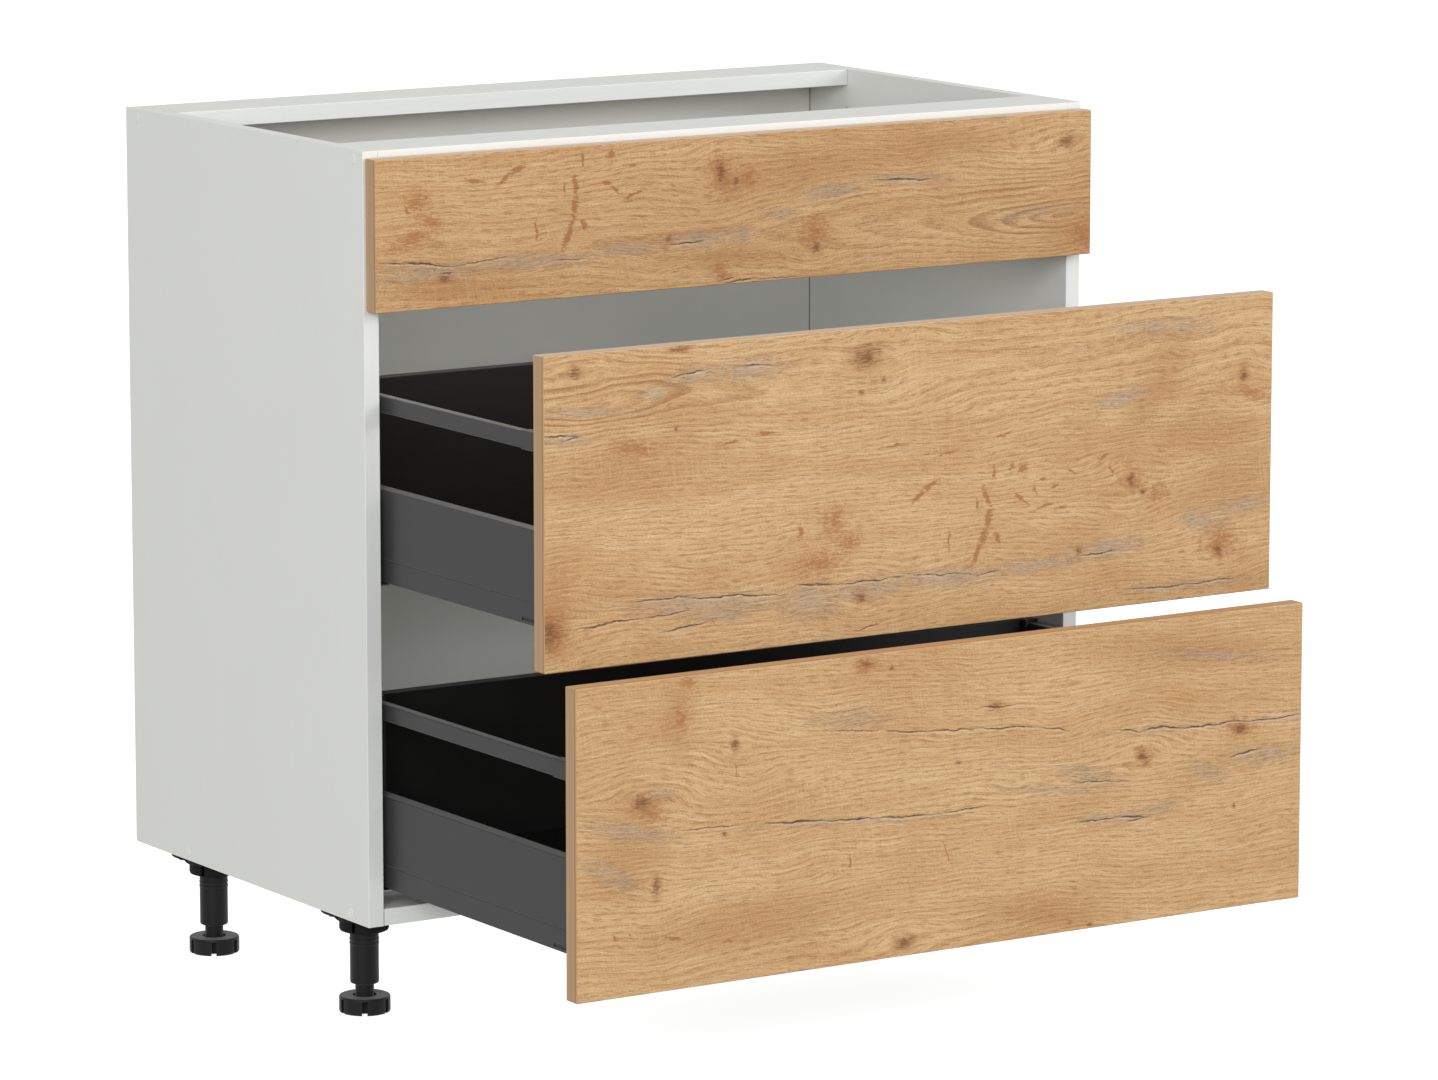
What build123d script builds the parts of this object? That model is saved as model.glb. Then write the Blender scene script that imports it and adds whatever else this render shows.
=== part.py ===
"""Kitchen base cabinet with a fixed blank front and two deep metal-sided drawers.

Millimetres, +Z up, front towards -Y, +X to the right as seen from the front.
Floor at z = 0. The drawers are stored pulled out, and the origin lies on the
floor at the middle of the whole plan outline in that position.
"""

import os
from math import cos, radians, sin

from build123d import *

os.makedirs("parts", exist_ok=True)

# ------------------------------------------------------------------ carcass
WIDTH = 800.0  # outside width of the carcass
DEPTH = 456.0  # depth of the side panels
LEG_H = 100.0  # floor to underside of the carcass
CARCASS_H = 720.0  # height of the side panels
BOARD = 16.0  # carcass board thickness
BACK_T = 3.0  # back panel thickness
BACK_FACE = 450.0  # front of the carcass to the inner face of the back
GROOVE_W = 3.2  # groove that holds the back panel
GROOVE_D = 6.0
FRONT_RAIL_D = 72.0  # front top rail, lying flat
REAR_RAIL_D = 74.0  # rear top rail, lying flat
EDGE_R = 0.8  # rounding of the banded front edges

# ------------------------------------------------------------------- fronts
FRONT_W = 797.0
FRONT_T = 18.0
FRONT_GAP = 2.0  # closed front to carcass edge
FRONT_R = 1.0  # rounding of the front's banded edges
BLANK_Z = (674.0, 814.0)
UPPER_Z = (388.0, 669.5)
LOWER_Z = (101.0, 383.0)
UPPER_OPEN = 292.0  # how far each drawer is pulled out
LOWER_OPEN = 344.0

# ------------------------------------------------------------------ drawers
SIDE_RISE = 32.5  # underside of the metal side above the front's lower edge
SIDE_X = 376.0  # outer face of the metal side from the centre plane
SIDE_T = 14.0  # overall thickness of the double-walled side
SIDE_H = 86.0
OUTER_SKIN = 1.2
INNER_SKIN = 1.0
LEDGE_W = 22.0  # flange that carries the bottom
LEDGE_TOP = 12.0
SLOT_D = 0.9  # depth of the pressed slot in the outer skin
SIDE_L = 400.0  # nominal length, front's back face to drawer's rear
CREASE_Z = 21.0  # fine crease along the outer skin
DRAWER_BOARD = 16.0
BACK_TOP = 176.0  # top of the drawer back above the side's underside
RAIL_LOW, RAIL_TOP = 157.0, 172.5
RAIL_W = 10.0
RAIL_WALL = 1.2
CONNECTOR_L = 57.0
HOLDER_D = 22.0
RUNNER_L = 400.0
RUNNER_RISE = 14.0  # underside of the middle member above the side's underside
MIDDLE_H = 26.0

# ---------------------------------------------------------------- fasteners
CONFIRMAT_R, CONFIRMAT_HEAD_R, CONFIRMAT_L = 3.4, 5.0, 50.0
CAP_R = 5.0
HEAD_SINK = 4.5  # counterbore depth in the side panels
HEAD_T = 3.0
CAP_PROUD = 0.4
DOWEL_R, DOWEL_L = 4.0, 32.0
SCREW_R, SCREW_HEAD_R = 2.0, 4.0
EURO_R, EURO_HEAD_R = 3.1, 5.0

# --------------------------------------------------------------------- legs
LEG_X = 359.0
LEG_Y = (81.0, 375.0)  # from the carcass front
PLATE_R = 40.5
RIM_T = 2.7  # thin outer rim of the leg plate
COLLAR_R = 23.4
COLLAR_LOW = 78.0
TUBE_R = 13.6
TUBE_LOW, TUBE_TOP = 27.5, 95.0
STEM_R = 8.8
STEM_TOP = 62.0
DISC_R = 24.2
DISC_H = 16.0
RUN = 0.05  # radial running clearance of the levelling stem
RIDGE = 0.35  # height of the two fine rings round the leg tube
NOTCH_W, NOTCH_D = 5.0, 12.0  # finger notches in the foot, measured in from the rim
NOTCH_H = 13.8
LEG_SCREW_R = 33.0

# ------------------------------------------------------- positions in plan
HALF_W = WIDTH / 2
INNER = HALF_W - BOARD
# the carcass front plane, so that the whole plan outline is centred on y = 0
Y0 = -(DEPTH - (LOWER_OPEN + FRONT_GAP + FRONT_T)) / 2
REAR = Y0 + DEPTH
TOP = LEG_H + CARCASS_H
RAIL_Z = TOP - BOARD / 2
FLOOR_Z = LEG_H + BOARD / 2

CONFIRMATS = [
    (Y0 + 18.0, RAIL_Z),
    (Y0 + 434.0, RAIL_Z),
    (Y0 + 35.0, FLOOR_Z),
    (Y0 + 351.0, FLOOR_Z),
]
DOWELS = [
    (Y0 + 54.0, RAIL_Z),
    (Y0 + 400.0, RAIL_Z),
    (Y0 + 150.0, FLOOR_Z),
    (Y0 + 250.0, FLOOR_Z),
    (Y0 + 432.0, FLOOR_Z),
]
SYSTEM_HOLE = (Y0 + 383.0, 779.0)
SIDES = (("left", -1), ("right", 1))
LEGS = [
    (f"{fr}_{side}", s * LEG_X, Y0 + LEG_Y[0 if fr == "front" else 1], s)
    for fr in ("front", "rear")
    for side, s in SIDES
]
DRAWERS = (
    ("upper", UPPER_Z, UPPER_OPEN),
    ("lower", LOWER_Z, LOWER_OPEN),
)
RUNNER_SCREW_Y = (Y0 + 37.0, Y0 + 229.0, Y0 + 357.0)


def leg_screw_points(x, y):
    """The four plate screws of one leg, square to the cabinet."""
    return [(x + LEG_SCREW_R, y), (x - LEG_SCREW_R, y), (x, y + LEG_SCREW_R), (x, y - LEG_SCREW_R)]


def out_of_side(s, x, y, z):
    """A place on a side panel whose local Z points out of the cabinet."""
    return Location((x, y, z), (0, s * 90, 0))


# ============================================================ carcass boards
for side, s in SIDES:
    with BuildPart() as side_panel:
        with BuildSketch(Plane.XY.offset(LEG_H)):
            with Locations((s * (HALF_W - BOARD / 2), Y0 + DEPTH / 2)):
                Rectangle(BOARD, DEPTH)
        extrude(amount=CARCASS_H)
        fillet(side_panel.edges().filter_by(Axis.Z).group_by(Axis.Y)[0], EDGE_R)
        # groove for the back panel
        with BuildSketch(Plane.XY.offset(LEG_H)):
            with Locations((s * (INNER + GROOVE_D / 2), Y0 + BACK_FACE + GROOVE_W / 2)):
                Rectangle(GROOVE_D, GROOVE_W)
        extrude(amount=CARCASS_H, mode=Mode.SUBTRACT)
        # sunk holes for the connecting screws and their caps
        with Locations(*[out_of_side(s, s * HALF_W, y, z) for y, z in CONFIRMATS]):
            CounterBoreHole(CONFIRMAT_R + 0.1, CAP_R + 0.1, HEAD_SINK, BOARD)
        # blind dowel holes, the open system hole and the runner screw holes
        with Locations(*[out_of_side(-s, s * INNER, y, z) for y, z in DOWELS]):
            Hole(DOWEL_R + 0.05, 12.0)
        with Locations(out_of_side(-s, s * INNER, *SYSTEM_HOLE)):
            Hole(2.5, 11.0)
        for _, (z_low, _), _ in DRAWERS:
            z = z_low + SIDE_RISE + 12.0
            with Locations(*[out_of_side(-s, s * INNER, y, z) for y in RUNNER_SCREW_Y]):
                Hole(EURO_R + 0.1, 12.5)
        # leg plate and blank bracket screw holes
        with Locations(*[Location((s * (LEG_X + LEG_SCREW_R), Y0 + y, LEG_H), (180, 0, 0)) for y in LEG_Y]):
            Hole(SCREW_R + 0.05, 13.0)
        with Locations(*[out_of_side(-s, s * INNER, Y0 + 24.0, z) for z in (728.0, 762.0)]):
            Hole(SCREW_R + 0.05, 13.0)
    side_panel.part.label = f"side_panel_{side}"
    export_step(side_panel.part, f"parts/side_panel_{side}.step")

with BuildPart() as bottom_panel:
    with BuildSketch(Plane.XY.offset(LEG_H)):
        with Locations((0, Y0 + DEPTH / 2)):
            Rectangle(2 * INNER, DEPTH)
    extrude(amount=BOARD)
    fillet(bottom_panel.edges().filter_by(Axis.X).group_by(Axis.Y)[0], EDGE_R)
    with BuildSketch(Plane.XY.offset(LEG_H + BOARD - GROOVE_D)):
        with Locations((0, Y0 + BACK_FACE + GROOVE_W / 2)):
            Rectangle(2 * INNER, GROOVE_W)
    extrude(amount=GROOVE_D, mode=Mode.SUBTRACT)
    for _, s in SIDES:
        with Locations(*[out_of_side(s, s * INNER, y, z) for y, z in CONFIRMATS if z == FLOOR_Z]):
            Hole(CONFIRMAT_R + 0.1, 36.0)
        with Locations(*[out_of_side(s, s * INNER, y, z) for y, z in DOWELS if z == FLOOR_Z]):
            Hole(DOWEL_R + 0.05, 21.0)
    points = [p for _, x, y, s in LEGS for p in leg_screw_points(x, y) if abs(p[0]) < INNER]
    with Locations(*[Location((x, y, LEG_H), (180, 0, 0)) for x, y in points]):
        Hole(SCREW_R + 0.05, 13.0)
bottom_panel.part.label = "bottom_panel"
export_step(bottom_panel.part, "parts/bottom_panel.step")

with BuildPart() as front_top_rail:
    with BuildSketch(Plane.XY.offset(TOP - BOARD)):
        with Locations((0, Y0 + FRONT_RAIL_D / 2)):
            Rectangle(2 * INNER, FRONT_RAIL_D)
    extrude(amount=BOARD)
    fillet(front_top_rail.edges().filter_by(Axis.X), EDGE_R)
    for _, s in SIDES:
        with Locations(out_of_side(s, s * INNER, *CONFIRMATS[0])):
            Hole(CONFIRMAT_R + 0.1, 36.0)
        with Locations(out_of_side(s, s * INNER, *DOWELS[0])):
            Hole(DOWEL_R + 0.05, 21.0)
front_top_rail.part.label = "front_top_rail"
export_step(front_top_rail.part, "parts/front_top_rail.step")

with BuildPart() as rear_top_rail:
    with BuildSketch(Plane.XY.offset(TOP - BOARD)):
        with Locations((0, REAR - REAR_RAIL_D / 2)):
            Rectangle(2 * INNER, REAR_RAIL_D)
    extrude(amount=BOARD)
    fillet(rear_top_rail.edges().filter_by(Axis.X).group_by(Axis.Y)[0], EDGE_R)
    with BuildSketch(Plane.XY.offset(TOP - BOARD)):
        with Locations((0, Y0 + BACK_FACE + GROOVE_W / 2)):
            Rectangle(2 * INNER, GROOVE_W)
    extrude(amount=GROOVE_D, mode=Mode.SUBTRACT)
    for _, s in SIDES:
        with Locations(out_of_side(s, s * INNER, *CONFIRMATS[1])):
            Hole(CONFIRMAT_R + 0.1, 36.0)
        with Locations(out_of_side(s, s * INNER, *DOWELS[1])):
            Hole(DOWEL_R + 0.05, 21.0)
rear_top_rail.part.label = "rear_top_rail"
export_step(rear_top_rail.part, "parts/rear_top_rail.step")

with BuildPart() as back_panel:
    low = LEG_H + BOARD - GROOVE_D + 0.5
    high = TOP - BOARD + GROOVE_D - 0.5
    with BuildSketch(Plane.XY.offset(low)):
        with Locations((0, Y0 + BACK_FACE + 0.1 + BACK_T / 2)):
            Rectangle(2 * (INNER + GROOVE_D - 0.5), BACK_T)
    extrude(amount=high - low)
back_panel.part.label = "back_panel"
export_step(back_panel.part, "parts/back_panel.step")

# ========================================================= carcass fasteners
with BuildPart() as carcass_screws:
    for _, s in SIDES:
        for y, z in CONFIRMATS:
            head = Plane((s * (HALF_W - HEAD_SINK), y, z), x_dir=(0, 1, 0), z_dir=(s, 0, 0))
            with BuildSketch(head):
                Circle(CONFIRMAT_HEAD_R)
                # cross recess reached before the cap goes on
                RectangleRounded(5.0, 1.2, 0.3, mode=Mode.SUBTRACT)
                RectangleRounded(1.2, 5.0, 0.3, mode=Mode.SUBTRACT)
            extrude(amount=HEAD_T)
            with BuildSketch(head):
                Circle(CONFIRMAT_R)
            extrude(amount=-(CONFIRMAT_L - HEAD_T))
carcass_screws.part.label = "carcass_screws"
export_step(carcass_screws.part, "parts/carcass_screws.step")

with BuildPart() as screw_caps:
    for _, s in SIDES:
        for y, z in CONFIRMATS:
            # a shallow domed plug seen from outside as a small disc
            with BuildSketch(Plane((s * (HALF_W - HEAD_SINK + HEAD_T), y, z), x_dir=(0, 1, 0), z_dir=(s, 0, 0))):
                Circle(CAP_R)
            extrude(amount=HEAD_SINK - HEAD_T)
            with BuildSketch(Plane((s * HALF_W, y, z), x_dir=(0, 1, 0), z_dir=(s, 0, 0))):
                Circle(CAP_R)
            extrude(amount=CAP_PROUD, taper=55)
screw_caps.part.label = "screw_caps"
export_step(screw_caps.part, "parts/screw_caps.step")

with BuildPart() as carcass_dowels:
    for _, s in SIDES:
        for y, z in DOWELS:
            with BuildSketch(Plane((s * (INNER + 11.5), y, z), x_dir=(0, 1, 0), z_dir=(-s, 0, 0))):
                Circle(DOWEL_R)
            extrude(amount=DOWEL_L)
carcass_dowels.part.label = "carcass_dowels"
export_step(carcass_dowels.part, "parts/carcass_dowels.step")

# ============================================================= blank front
with BuildPart() as blank_front:
    with BuildSketch(Plane.XY.offset(BLANK_Z[0])):
        with Locations((0, Y0 - FRONT_GAP - FRONT_T / 2)):
            Rectangle(FRONT_W, FRONT_T)
    extrude(amount=BLANK_Z[1] - BLANK_Z[0])
    fillet(blank_front.edges(), FRONT_R)
    with Locations(
        *[
            Location((s * (INNER - 18.0), Y0 - FRONT_GAP, z), (-90, 0, 0))
            for _, s in SIDES
            for z in (728.0, 762.0)
        ]
    ):
        Hole(SCREW_R + 0.05, 13.0)
blank_front.part.label = "blank_front"
export_step(blank_front.part, "parts/blank_front.step")

with BuildPart() as blank_front_brackets:
    # a bent steel angle in each front corner
    for _, s in SIDES:
        with BuildSketch(Plane.XY.offset(715.0)):
            with BuildLine():
                Polyline(
                    (s * INNER, Y0 - FRONT_GAP),
                    (s * INNER, Y0 + 38.0),
                    (s * (INNER - 2.0), Y0 + 38.0),
                    (s * (INNER - 2.0), Y0),
                    (s * (INNER - 30.0), Y0),
                    (s * (INNER - 30.0), Y0 - FRONT_GAP),
                    close=True,
                )
            make_face()
        extrude(amount=60.0)
    with Locations(
        *[
            Location((s * (INNER - 18.0), Y0, z), (-90, 0, 0))
            for _, s in SIDES
            for z in (728.0, 762.0)
        ]
    ):
        Hole(SCREW_R + 0.25, 3.0)
    for _, s in SIDES:
        with Locations(*[out_of_side(-s, s * (INNER - 2.0), Y0 + 24.0, z) for z in (728.0, 762.0)]):
            Hole(SCREW_R + 0.25, 3.0)
blank_front_brackets.part.label = "blank_front_brackets"
export_step(blank_front_brackets.part, "parts/blank_front_brackets.step")

with BuildPart() as blank_front_screws:
    for _, s in SIDES:
        for z in (728.0, 762.0):
            for seat in (
                Plane((s * (INNER - 18.0), Y0, z), x_dir=(1, 0, 0), z_dir=(0, 1, 0)),
                Plane((s * (INNER - 2.0), Y0 + 24.0, z), x_dir=(0, 1, 0), z_dir=(-s, 0, 0)),
            ):
                with BuildSketch(seat):
                    Circle(SCREW_HEAD_R)
                extrude(amount=2.2)
                with BuildSketch(seat):
                    Circle(SCREW_R)
                extrude(amount=-14.5)
blank_front_screws.part.label = "blank_front_screws"
export_step(blank_front_screws.part, "parts/blank_front_screws.step")

# ==================================================================== legs
for place, x, y, s in LEGS:
    with BuildPart() as leg_plate:
        # round flange, conical hub and socket collar
        with BuildSketch(Plane.XZ):
            with BuildLine():
                Polyline(
                    (0, LEG_H),
                    (PLATE_R, LEG_H),
                    (PLATE_R, LEG_H - RIM_T),
                    (33.8, LEG_H - RIM_T - 0.2),
                    (26.6, 89.4),
                    (COLLAR_R, 88.5),
                    (COLLAR_R, COLLAR_LOW + 2.6),
                    (COLLAR_R - 0.8, COLLAR_LOW + 0.8),
                    (COLLAR_R - 2.6, COLLAR_LOW),
                    (TUBE_R + RUN, COLLAR_LOW),
                    (TUBE_R + RUN, TUBE_TOP),
                    (0, TUBE_TOP),
                    close=True,
                )
            make_face()
        revolve(axis=Axis.Z)
        # four gaps part the collar into lobes
        with BuildSketch(Plane.XY.offset(COLLAR_LOW)):
            with PolarLocations(21.0, 4, start_angle=35):
                Rectangle(10.0, 3.0)
        extrude(amount=10.5, mode=Mode.SUBTRACT)
        with PolarLocations(LEG_SCREW_R, 4):
            with Locations(Location((0, 0, LEG_H - 12.0), (180, 0, 0))):
                CounterBoreHole(SCREW_R + 0.25, 4.6, 12.0 - RIM_T, 12.0)
    plate = Pos(x, y, 0) * leg_plate.part
    plate.label = f"leg_plate_{place}"
    export_step(plate, f"parts/leg_plate_{place}.step")

    with BuildPart() as leg_tube:
        with BuildSketch(Plane.XZ):
            with BuildLine():
                Polyline(
                    (0, TUBE_TOP),
                    (TUBE_R, TUBE_TOP),
                    (TUBE_R, 71.2),
                    (TUBE_R + RIDGE, 70.8),
                    (TUBE_R + RIDGE, 69.5),
                    (TUBE_R, 69.1),
                    (TUBE_R, 67.2),
                    (TUBE_R + RIDGE, 66.8),
                    (TUBE_R + RIDGE, 65.5),
                    (TUBE_R, 65.1),
                    (TUBE_R, TUBE_LOW + 1.6),
                    (TUBE_R - 0.5, TUBE_LOW + 0.5),
                    (TUBE_R - 1.6, TUBE_LOW),
                    (STEM_R + RUN, TUBE_LOW),
                    (STEM_R + RUN, 90.0),
                    (0, 90.0),
                    close=True,
                )
            make_face()
        revolve(axis=Axis.Z)
    tube = Pos(x, y, 0) * leg_tube.part
    tube.label = f"leg_tube_{place}"
    export_step(tube, f"parts/leg_tube_{place}.step")

    with BuildPart() as leg_foot:
        with BuildSketch(Plane.XZ):
            with BuildLine():
                Polyline(
                    (0, 0),
                    (DISC_R - 1.6, 0),
                    (DISC_R - 0.5, 0.6),
                    (DISC_R, 2.0),
                    (DISC_R, DISC_H - 1.6),
                    (DISC_R - 0.4, DISC_H - 0.5),
                    (DISC_R - 1.4, DISC_H),
                    (11.4, DISC_H),
                    (11.4, DISC_H - 4.0),
                    (STEM_R, DISC_H - 4.0),
                    (STEM_R, STEM_TOP - 1.0),
                    (STEM_R - 1.0, STEM_TOP),
                    (0, STEM_TOP),
                    close=True,
                )
            make_face()
        revolve(axis=Axis.Z)
        # six deep finger notches in the rim, open below
        with BuildSketch(Plane.XY):
            with PolarLocations(DISC_R, 6):
                Rectangle(2 * NOTCH_D, NOTCH_W)
        extrude(amount=NOTCH_H, mode=Mode.SUBTRACT)
    foot = Pos(x, y, 0) * leg_foot.part
    foot.label = f"leg_foot_{place}"
    export_step(foot, f"parts/leg_foot_{place}.step")

with BuildPart() as leg_screws:
    for _, x, y, s in LEGS:
        for px, py in leg_screw_points(x, y):
            with BuildSketch(Plane.XY.offset(LEG_H - RIM_T - 2.4)):
                with Locations((px, py)):
                    Circle(SCREW_HEAD_R)
            extrude(amount=2.4)
            with BuildSketch(Plane.XY.offset(LEG_H - RIM_T)):
                with Locations((px, py)):
                    Circle(SCREW_R)
            extrude(amount=RIM_T + 12.0)
leg_screws.part.label = "leg_screws"
export_step(leg_screws.part, "parts/leg_screws.step")

# ============================================= cabinet members of the runners
for drawer, (z_low, z_high), travel in DRAWERS:
    base = z_low + SIDE_RISE
    mid = base + RUNNER_RISE
    for side, s in SIDES:
        with BuildPart() as runner_cabinet:
            # bent strip: flange on the panel, web under the drawer's outer
            # skin, upright inside the drawer side and a lip that carries the
            # middle member
            with BuildSketch(Plane.XZ.offset(-(Y0 + 4.0 + RUNNER_L))):
                with BuildLine():
                    Polyline(
                        (s * INNER, base - 2.2),
                        (s * (SIDE_X - 2.8), base - 2.2),
                        (s * (SIDE_X - 2.8), mid + 22.2),
                        (s * (SIDE_X - 5.4), mid + 22.2),
                        (s * (SIDE_X - 5.4), mid + 23.7),
                        (s * (SIDE_X - 1.6), mid + 23.7),
                        (s * (SIDE_X - 1.6), base - 1.0),
                        (s * (INNER - 1.2), base - 1.0),
                        (s * (INNER - 1.2), base + 28.0),
                        (s * INNER, base + 28.0),
                        close=True,
                    )
                make_face()
            extrude(amount=RUNNER_L)
            with Locations(*[out_of_side(-s, s * (INNER - 1.2), y, base + 12.0) for y in RUNNER_SCREW_Y]):
                Hole(EURO_R + 0.2, 1.4)
        runner_cabinet.part.label = f"{drawer}_runner_cabinet_{side}"
        export_step(runner_cabinet.part, f"parts/{drawer}_runner_cabinet_{side}.step")

with BuildPart() as runner_screws:
    for _, (z_low, _), _ in DRAWERS:
        for _, s in SIDES:
            for y in RUNNER_SCREW_Y:
                seat = Plane(
                    (s * (INNER - 1.2), y, z_low + SIDE_RISE + 12.0), x_dir=(0, 1, 0), z_dir=(-s, 0, 0)
                )
                with BuildSketch(seat):
                    Circle(EURO_HEAD_R)
                extrude(amount=1.6)
                with BuildSketch(seat):
                    Circle(EURO_R)
                extrude(amount=-13.0)
runner_screws.part.label = "runner_screws"
export_step(runner_screws.part, "parts/runner_screws.step")

# ================================================================= drawers
for drawer, (z_low, z_high), travel in DRAWERS:
    base = z_low + SIDE_RISE  # underside of the metal sides
    mid = base + RUNNER_RISE
    face = Y0 - FRONT_GAP - travel  # back face of the drawer front
    rear = face + SIDE_L  # rear of the drawer
    board_top = base + LEDGE_TOP + DRAWER_BOARD
    bracket_z = (base + 40.0, base + 72.0)

    with BuildPart() as front:
        with BuildSketch(Plane.XY.offset(z_low)):
            with Locations((0, face - FRONT_T / 2)):
                Rectangle(FRONT_W, FRONT_T)
        extrude(amount=z_high - z_low)
        fillet(front.edges(), FRONT_R)
        with Locations(
            *[
                Location((s * (SIDE_X - SIDE_T - 13.0), face, z), (-90, 0, 0))
                for _, s in SIDES
                for z in bracket_z
            ]
        ):
            Hole(SCREW_R + 0.05, 13.0)
    front.part.label = f"{drawer}_drawer_front"
    export_step(front.part, f"parts/{drawer}_drawer_front.step")

    for side, s in SIDES:
        with BuildPart() as wall:
            # folded double-walled steel side: outer skin with a fine crease,
            # flat top, inner skin and the ledge under the bottom board
            with BuildSketch(Plane.XZ.offset(-rear)):
                with BuildLine():
                    Polyline(
                        (s * SIDE_X, base),
                        (s * SIDE_X, base + CREASE_Z - 0.8),
                        (s * (SIDE_X - 0.6), base + CREASE_Z - 0.1),
                        (s * (SIDE_X - 0.6), base + CREASE_Z + 0.1),
                        (s * SIDE_X, base + CREASE_Z + 0.8),
                        (s * SIDE_X, base + SIDE_H),
                        (s * (SIDE_X - SIDE_T), base + SIDE_H),
                        (s * (SIDE_X - SIDE_T), base + LEDGE_TOP),
                        (s * (SIDE_X - SIDE_T - LEDGE_W), base + LEDGE_TOP),
                        (s * (SIDE_X - SIDE_T - LEDGE_W), base + LEDGE_TOP - 1.0),
                        (s * (SIDE_X - SIDE_T + INNER_SKIN), base + LEDGE_TOP - 1.0),
                        (s * (SIDE_X - SIDE_T + INNER_SKIN), base + SIDE_H - 1.2),
                        (s * (SIDE_X - OUTER_SKIN), base + SIDE_H - 1.2),
                        (s * (SIDE_X - OUTER_SKIN), base),
                        close=True,
                    )
                make_face()
            extrude(amount=SIDE_L)
            fillet(wall.edges().filter_by(Axis.Y).group_by(Axis.Z)[-1], 1.1)
            # blind pressed slot low down near the front
            with BuildSketch(Plane.YZ.offset(s * SIDE_X)):
                with Locations((face + 36.0, base + 3.9)):
                    SlotOverall(44.0, 3.2)
            extrude(amount=SLOT_D, both=True, mode=Mode.SUBTRACT)
            # screw holes in the ledge
            with Locations(*[(s * (SIDE_X - SIDE_T - 12.0), face + v, base + LEDGE_TOP) for v in (60, 200, 340)]):
                Hole(SCREW_R + 0.25, 2.0)
        wall.part.label = f"{drawer}_drawer_side_{side}"
        export_step(wall.part, f"parts/{drawer}_drawer_side_{side}.step")

        with BuildPart() as rail:
            with BuildSketch(Plane.XZ.offset(-(rear - HOLDER_D))):
                with Locations((s * (SIDE_X - RAIL_W / 2), base + (RAIL_LOW + RAIL_TOP) / 2)):
                    RectangleRounded(RAIL_W, RAIL_TOP - RAIL_LOW, 1.4)
                    RectangleRounded(
                        RAIL_W - 2 * RAIL_WALL, RAIL_TOP - RAIL_LOW - 2 * RAIL_WALL, 0.6, mode=Mode.SUBTRACT
                    )
            extrude(amount=SIDE_L - HOLDER_D - 6.0)
        rail.part.label = f"{drawer}_rail_{side}"
        export_step(rail.part, f"parts/{drawer}_rail_{side}.step")

        with BuildPart() as runner_middle:
            # I-section member that moves half as far as the drawer
            start = Y0 + 6.0 - travel / 2
            length = RUNNER_L - 4.0
            with BuildSketch(Plane.XZ.offset(-(start + length))):
                with Locations((s * (SIDE_X - 6.3), mid + MIDDLE_H / 2)):
                    Rectangle(6.2, MIDDLE_H)
                for off in (-1.8, 1.8):
                    with Locations((s * (SIDE_X - 6.3) + off, mid + MIDDLE_H / 2)):
                        Rectangle(2.6, MIDDLE_H - 4.0, mode=Mode.SUBTRACT)
            extrude(amount=length)
        runner_middle.part.label = f"{drawer}_runner_middle_{side}"
        export_step(runner_middle.part, f"parts/{drawer}_runner_middle_{side}.step")

    with BuildPart() as bottom:
        with BuildSketch(Plane.XY.offset(base + LEDGE_TOP)):
            with Locations((0, face + SIDE_L / 2)):
                Rectangle(2 * (SIDE_X - SIDE_T), SIDE_L)
        extrude(amount=DRAWER_BOARD)
        with Locations(
            *[
                Location((s * (SIDE_X - SIDE_T - 12.0), face + v, base + LEDGE_TOP), (180, 0, 0))
                for _, s in SIDES
                for v in (60, 200, 340)
            ]
        ):
            Hole(SCREW_R + 0.05, 12.5)
    bottom.part.label = f"{drawer}_drawer_bottom"
    export_step(bottom.part, f"parts/{drawer}_drawer_bottom.step")

    with BuildPart() as back:
        with BuildSketch(Plane.XY.offset(board_top)):
            with Locations((0, rear - DRAWER_BOARD / 2)):
                Rectangle(2 * (SIDE_X - SIDE_T), DRAWER_BOARD)
        extrude(amount=base + BACK_TOP - board_top)
        fillet(back.edges().filter_by(Axis.X).group_by(Axis.Z)[-1], 0.8)
    back.part.label = f"{drawer}_drawer_back"
    export_step(back.part, f"parts/{drawer}_drawer_back.step")

    with BuildPart() as connectors:
        # sleeves that carry the railing on the front
        for _, s in SIDES:
            with BuildSketch(Plane.XZ.offset(-(face + CONNECTOR_L))):
                with Locations((s * (SIDE_X - RAIL_W / 2), base + (RAIL_LOW + RAIL_TOP) / 2)):
                    RectangleRounded(RAIL_W + 1.6, RAIL_TOP - RAIL_LOW + 1.8, 1.8)
            extrude(amount=CONNECTOR_L)
            with BuildSketch(Plane.XZ.offset(-(face + CONNECTOR_L))):
                with Locations((s * (SIDE_X - RAIL_W / 2), base + (RAIL_LOW + RAIL_TOP) / 2)):
                    RectangleRounded(RAIL_W + 0.1, RAIL_TOP - RAIL_LOW + 0.1, 1.42)
            extrude(amount=CONNECTOR_L - 6.0, mode=Mode.SUBTRACT)
    connectors.part.label = f"{drawer}_rail_connectors"
    export_step(connectors.part, f"parts/{drawer}_rail_connectors.step")

    with BuildPart() as holders:
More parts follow.
